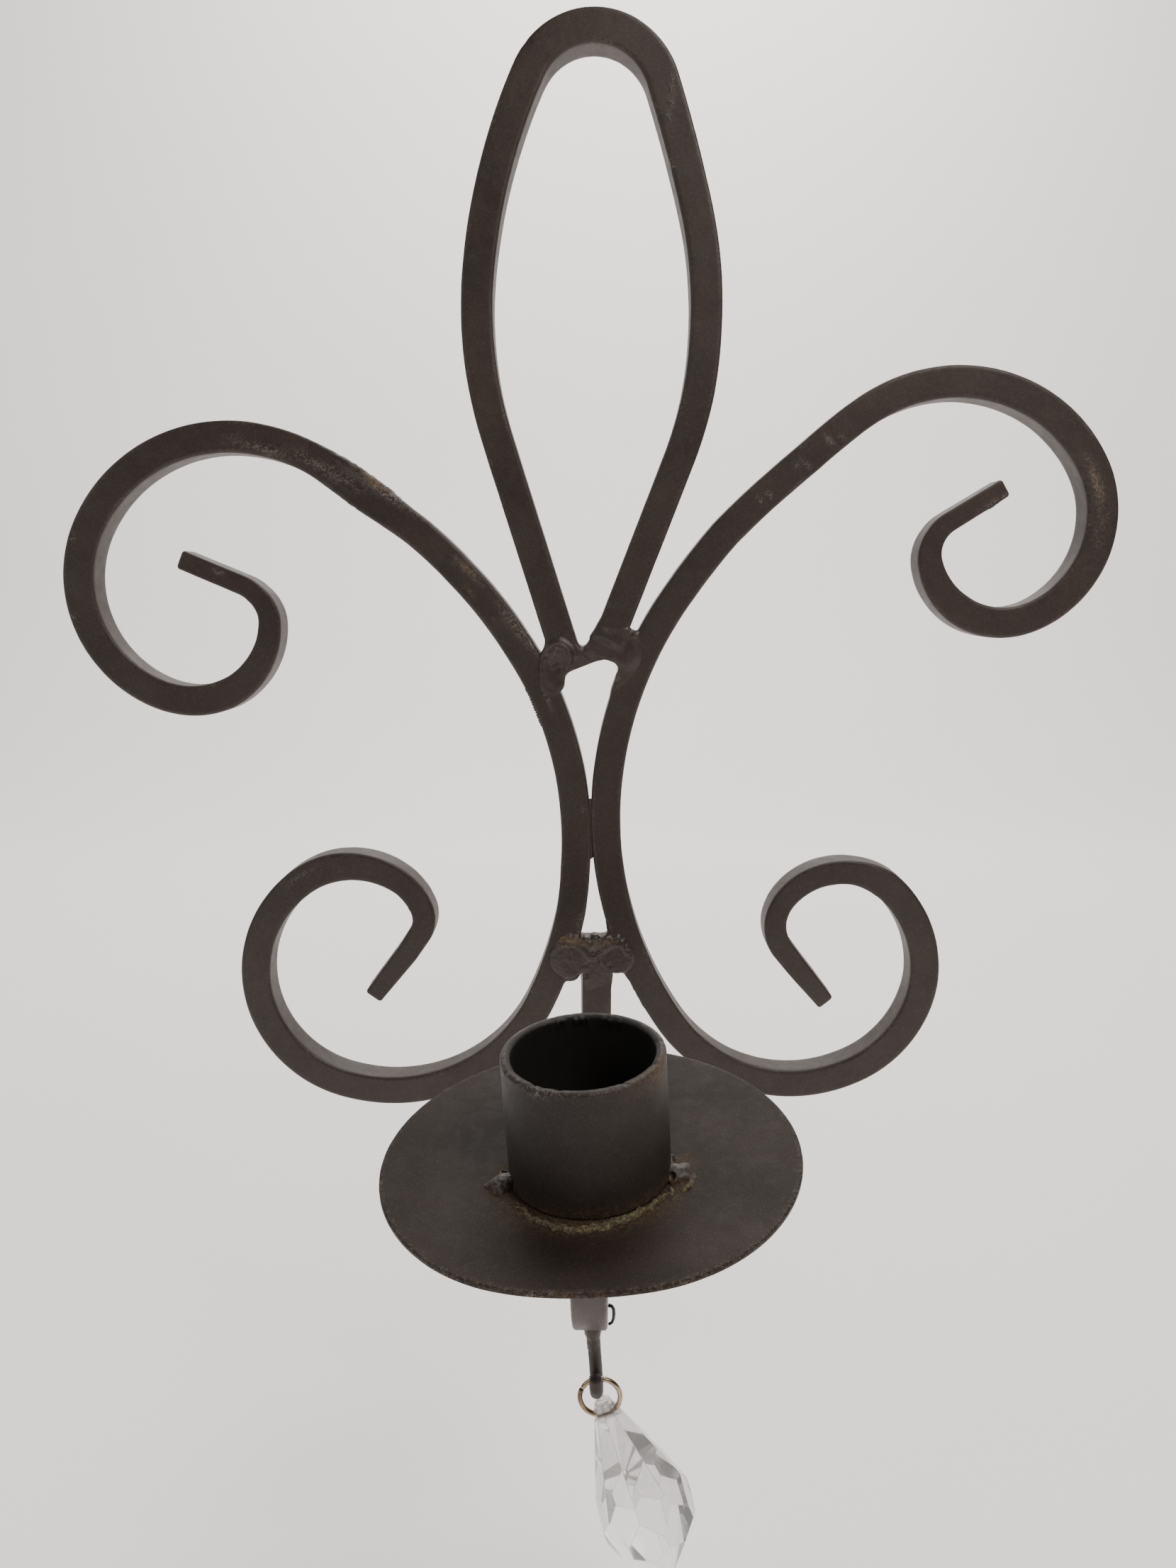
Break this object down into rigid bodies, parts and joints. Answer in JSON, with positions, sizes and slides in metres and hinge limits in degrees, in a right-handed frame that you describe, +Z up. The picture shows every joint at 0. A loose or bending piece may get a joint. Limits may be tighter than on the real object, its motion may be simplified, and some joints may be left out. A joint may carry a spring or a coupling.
{
  "type": "wall sconce candle holder",
  "caption": "Wrought-iron wall sconce: square bar bent into a loop and two scrolls, an arm with drip pan and candle cup, and a hanging faceted crystal drop.",
  "frame": {"origin": "highest point inside the centre loop, in the plane of the wall, where a nail or peg carries the sconce", "axes": "+Z up, +X to the right, +Y into the wall; the front faces -Y"},
  "size_m": [0.3218, 0.1532, 0.434],
  "materials": {
    "frame_paint": "satin dark brown paint on square bar, scuffed at the edges",
    "pan_paint": "satin dark brown paint on sheet, faint rust at the rim",
    "cup_paint": "satin dark brown paint on tube, scuffed rim",
    "weld_paint": "satin dark brown paint over lumpy weld beads",
    "ring_brass": "dull tarnished wire",
    "crystal": "clear polished facets"
  },
  "bodies": {
    "frame": {"centre_loop": "frame_paint", "left_scroll": "frame_paint", "right_scroll": "frame_paint", "candle_arm": "frame_paint", "drip_pan": "pan_paint", "candle_cup": "cup_paint", "crystal_hook": "frame_paint", "weld_loop_left": "weld_paint", "weld_loop_right": "weld_paint", "weld_loop_bridge": "weld_paint", "weld_scroll_contact": "weld_paint", "weld_arm_left": "weld_paint", "weld_arm_right": "weld_paint", "weld_arm_crown": "weld_paint", "weld_arm_pan": "weld_paint", "weld_cup_left": "weld_paint", "weld_cup_right": "weld_paint", "weld_hook": "weld_paint"},
    "ring": {"pendant_ring": "ring_brass"},
    "crystal": {"crystal_drop": "crystal"}
  },
  "joints": [
    {"name": "ring_sway", "type": "hinge", "parent": "frame", "child": "ring", "pos_m": [0, -0.0832, -0.3666], "axis": [0, 1, 0], "range_deg": [-20, 60]},
    {"name": "crystal_swing", "type": "hinge", "parent": "ring", "child": "crystal", "pos_m": [0.00264, -0.0832, -0.37367], "axis": [0.9367, 0, 0.3502], "range_deg": [-35, 35]}
  ]
}
